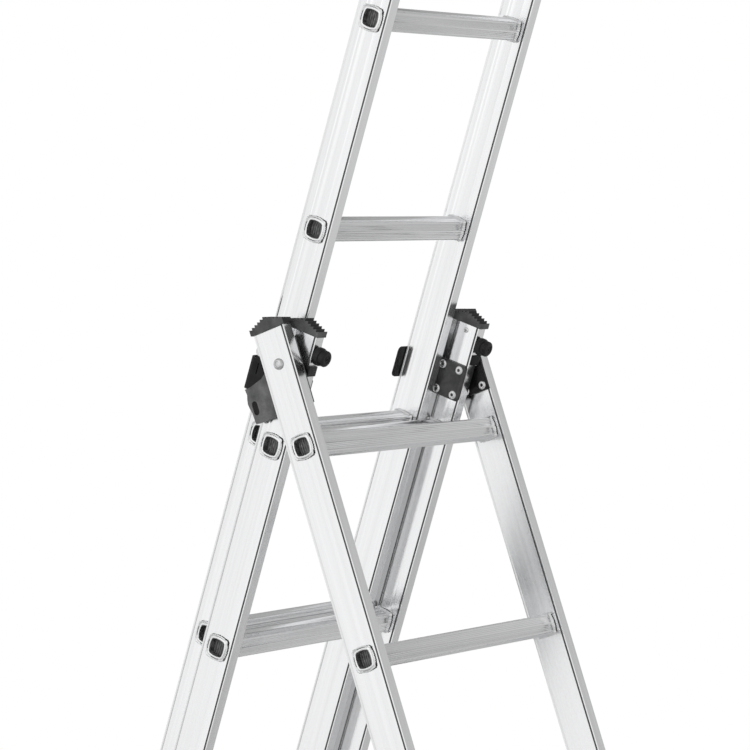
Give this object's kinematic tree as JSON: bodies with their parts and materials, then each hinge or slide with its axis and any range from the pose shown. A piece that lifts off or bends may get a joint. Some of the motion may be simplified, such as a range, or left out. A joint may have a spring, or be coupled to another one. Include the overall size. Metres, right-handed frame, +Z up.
{
  "type": "combination ladder",
  "caption": "Aluminium three-section combination ladder set up as a leaning A-frame, its upper section slid out above the hinge.",
  "frame": {"origin": "centre of the footprint, on the floor", "axes": "+Z up; +X along the rungs, to the right seen from the front section; -Y towards the front section's stabiliser bar"},
  "size_m": [0.86, 1.2187, 2.4977],
  "materials": {
    "aluminium": "extruded, satin",
    "aluminium_rung": "extruded, finely ribbed",
    "bright_steel": "zinc plated",
    "dark_steel": "dark grey coating",
    "black_plastic": "moulded, matte"
  },
  "bodies": {
    "middle": {"cap_screw_left": "bright_steel", "cap_screw_right": "bright_steel", "middle_bracket_outer_left": "dark_steel", "middle_bracket_outer_right": "dark_steel", "middle_foot_left": "black_plastic", "middle_foot_right": "black_plastic", "middle_plate_inner_left": "dark_steel", "middle_plate_inner_right": "dark_steel", "middle_rung_1": "aluminium_rung", "middle_rung_2": "aluminium_rung", "middle_rung_3": "aluminium_rung", "middle_rung_4": "aluminium_rung", "middle_rung_5": "aluminium_rung", "middle_rung_6": "aluminium_rung", "middle_stile_left": "aluminium", "middle_stile_right": "aluminium", "middle_top_cap_left": "black_plastic", "middle_top_cap_right": "black_plastic"},
    "hinge_slides": {"hinge_bolt_left": "bright_steel", "hinge_bolt_right": "bright_steel", "hinge_slide_left": "bright_steel", "hinge_slide_right": "bright_steel"},
    "front": {"front_hinge_plate_left": "dark_steel", "front_hinge_plate_right": "dark_steel", "front_rung_1": "aluminium_rung", "front_rung_2": "aluminium_rung", "front_rung_3": "aluminium_rung", "front_rung_4": "aluminium_rung", "front_rung_5": "aluminium_rung", "front_rung_6": "aluminium_rung", "front_stile_left": "aluminium", "front_stile_right": "aluminium", "front_top_cap_left": "black_plastic", "front_top_cap_right": "black_plastic", "stabiliser_bar": "aluminium", "stabiliser_bolt_left": "bright_steel", "stabiliser_bolt_right": "bright_steel", "stabiliser_shoe_left": "black_plastic", "stabiliser_shoe_right": "black_plastic"},
    "upper": {"rung_hook_pin_left": "bright_steel", "rung_hook_pin_right": "bright_steel", "upper_bottom_plug_left": "black_plastic", "upper_bottom_plug_right": "black_plastic", "upper_rung_1": "aluminium_rung", "upper_rung_2": "aluminium_rung", "upper_rung_3": "aluminium_rung", "upper_rung_4": "aluminium_rung", "upper_rung_5": "aluminium_rung", "upper_rung_6": "aluminium_rung", "upper_stile_left": "aluminium", "upper_stile_right": "aluminium", "upper_top_plug_left": "black_plastic", "upper_top_plug_right": "black_plastic"},
    "knob_left": {"knob_left": "black_plastic", "knob_spring_left": "bright_steel"},
    "knob_right": {"knob_right": "black_plastic", "knob_spring_right": "bright_steel"},
    "hook_left": {"rung_hook_left": "bright_steel"},
    "hook_right": {"rung_hook_right": "bright_steel"}
  },
  "joints": [
    {"name": "upper_slide", "type": "slide", "parent": "middle", "child": "upper", "axis": [0, -0.3256, 0.9455], "range_m": [-0.84, 0]},
    {"name": "hinge_slide", "type": "slide", "parent": "middle", "child": "hinge_slides", "axis": [0, -0.9455, -0.3256], "range_m": [0, 0.0434]},
    {"name": "fold", "type": "hinge", "parent": "hinge_slides", "child": "front", "pos_m": [0, 0.0178, 1.63859], "axis": [1, 0, 0], "range_deg": [0, 38]},
    {"name": "knob_left_pull", "type": "slide", "parent": "middle", "child": "knob_left", "axis": [0, -0.9455, -0.3256], "range_m": [0, 0.01], "stiffness_N_per_m": 300},
    {"name": "knob_right_pull", "type": "slide", "parent": "middle", "child": "knob_right", "axis": [0, -0.9455, -0.3256], "range_m": [0, 0.01], "stiffness_N_per_m": 300},
    {"name": "hook_left_swing", "type": "hinge", "parent": "upper", "child": "hook_left", "pos_m": [0, 0.25569, 1.05293], "axis": [1, 0, 0], "range_deg": [-110, 0]},
    {"name": "hook_right_swing", "type": "hinge", "parent": "upper", "child": "hook_right", "pos_m": [0, 0.25569, 1.05293], "axis": [1, 0, 0], "range_deg": [-110, 0]}
  ],
  "couplings": [
    {"joint": "hinge_slide", "follows": "fold", "m_per_rad": 0.0651}
  ]
}
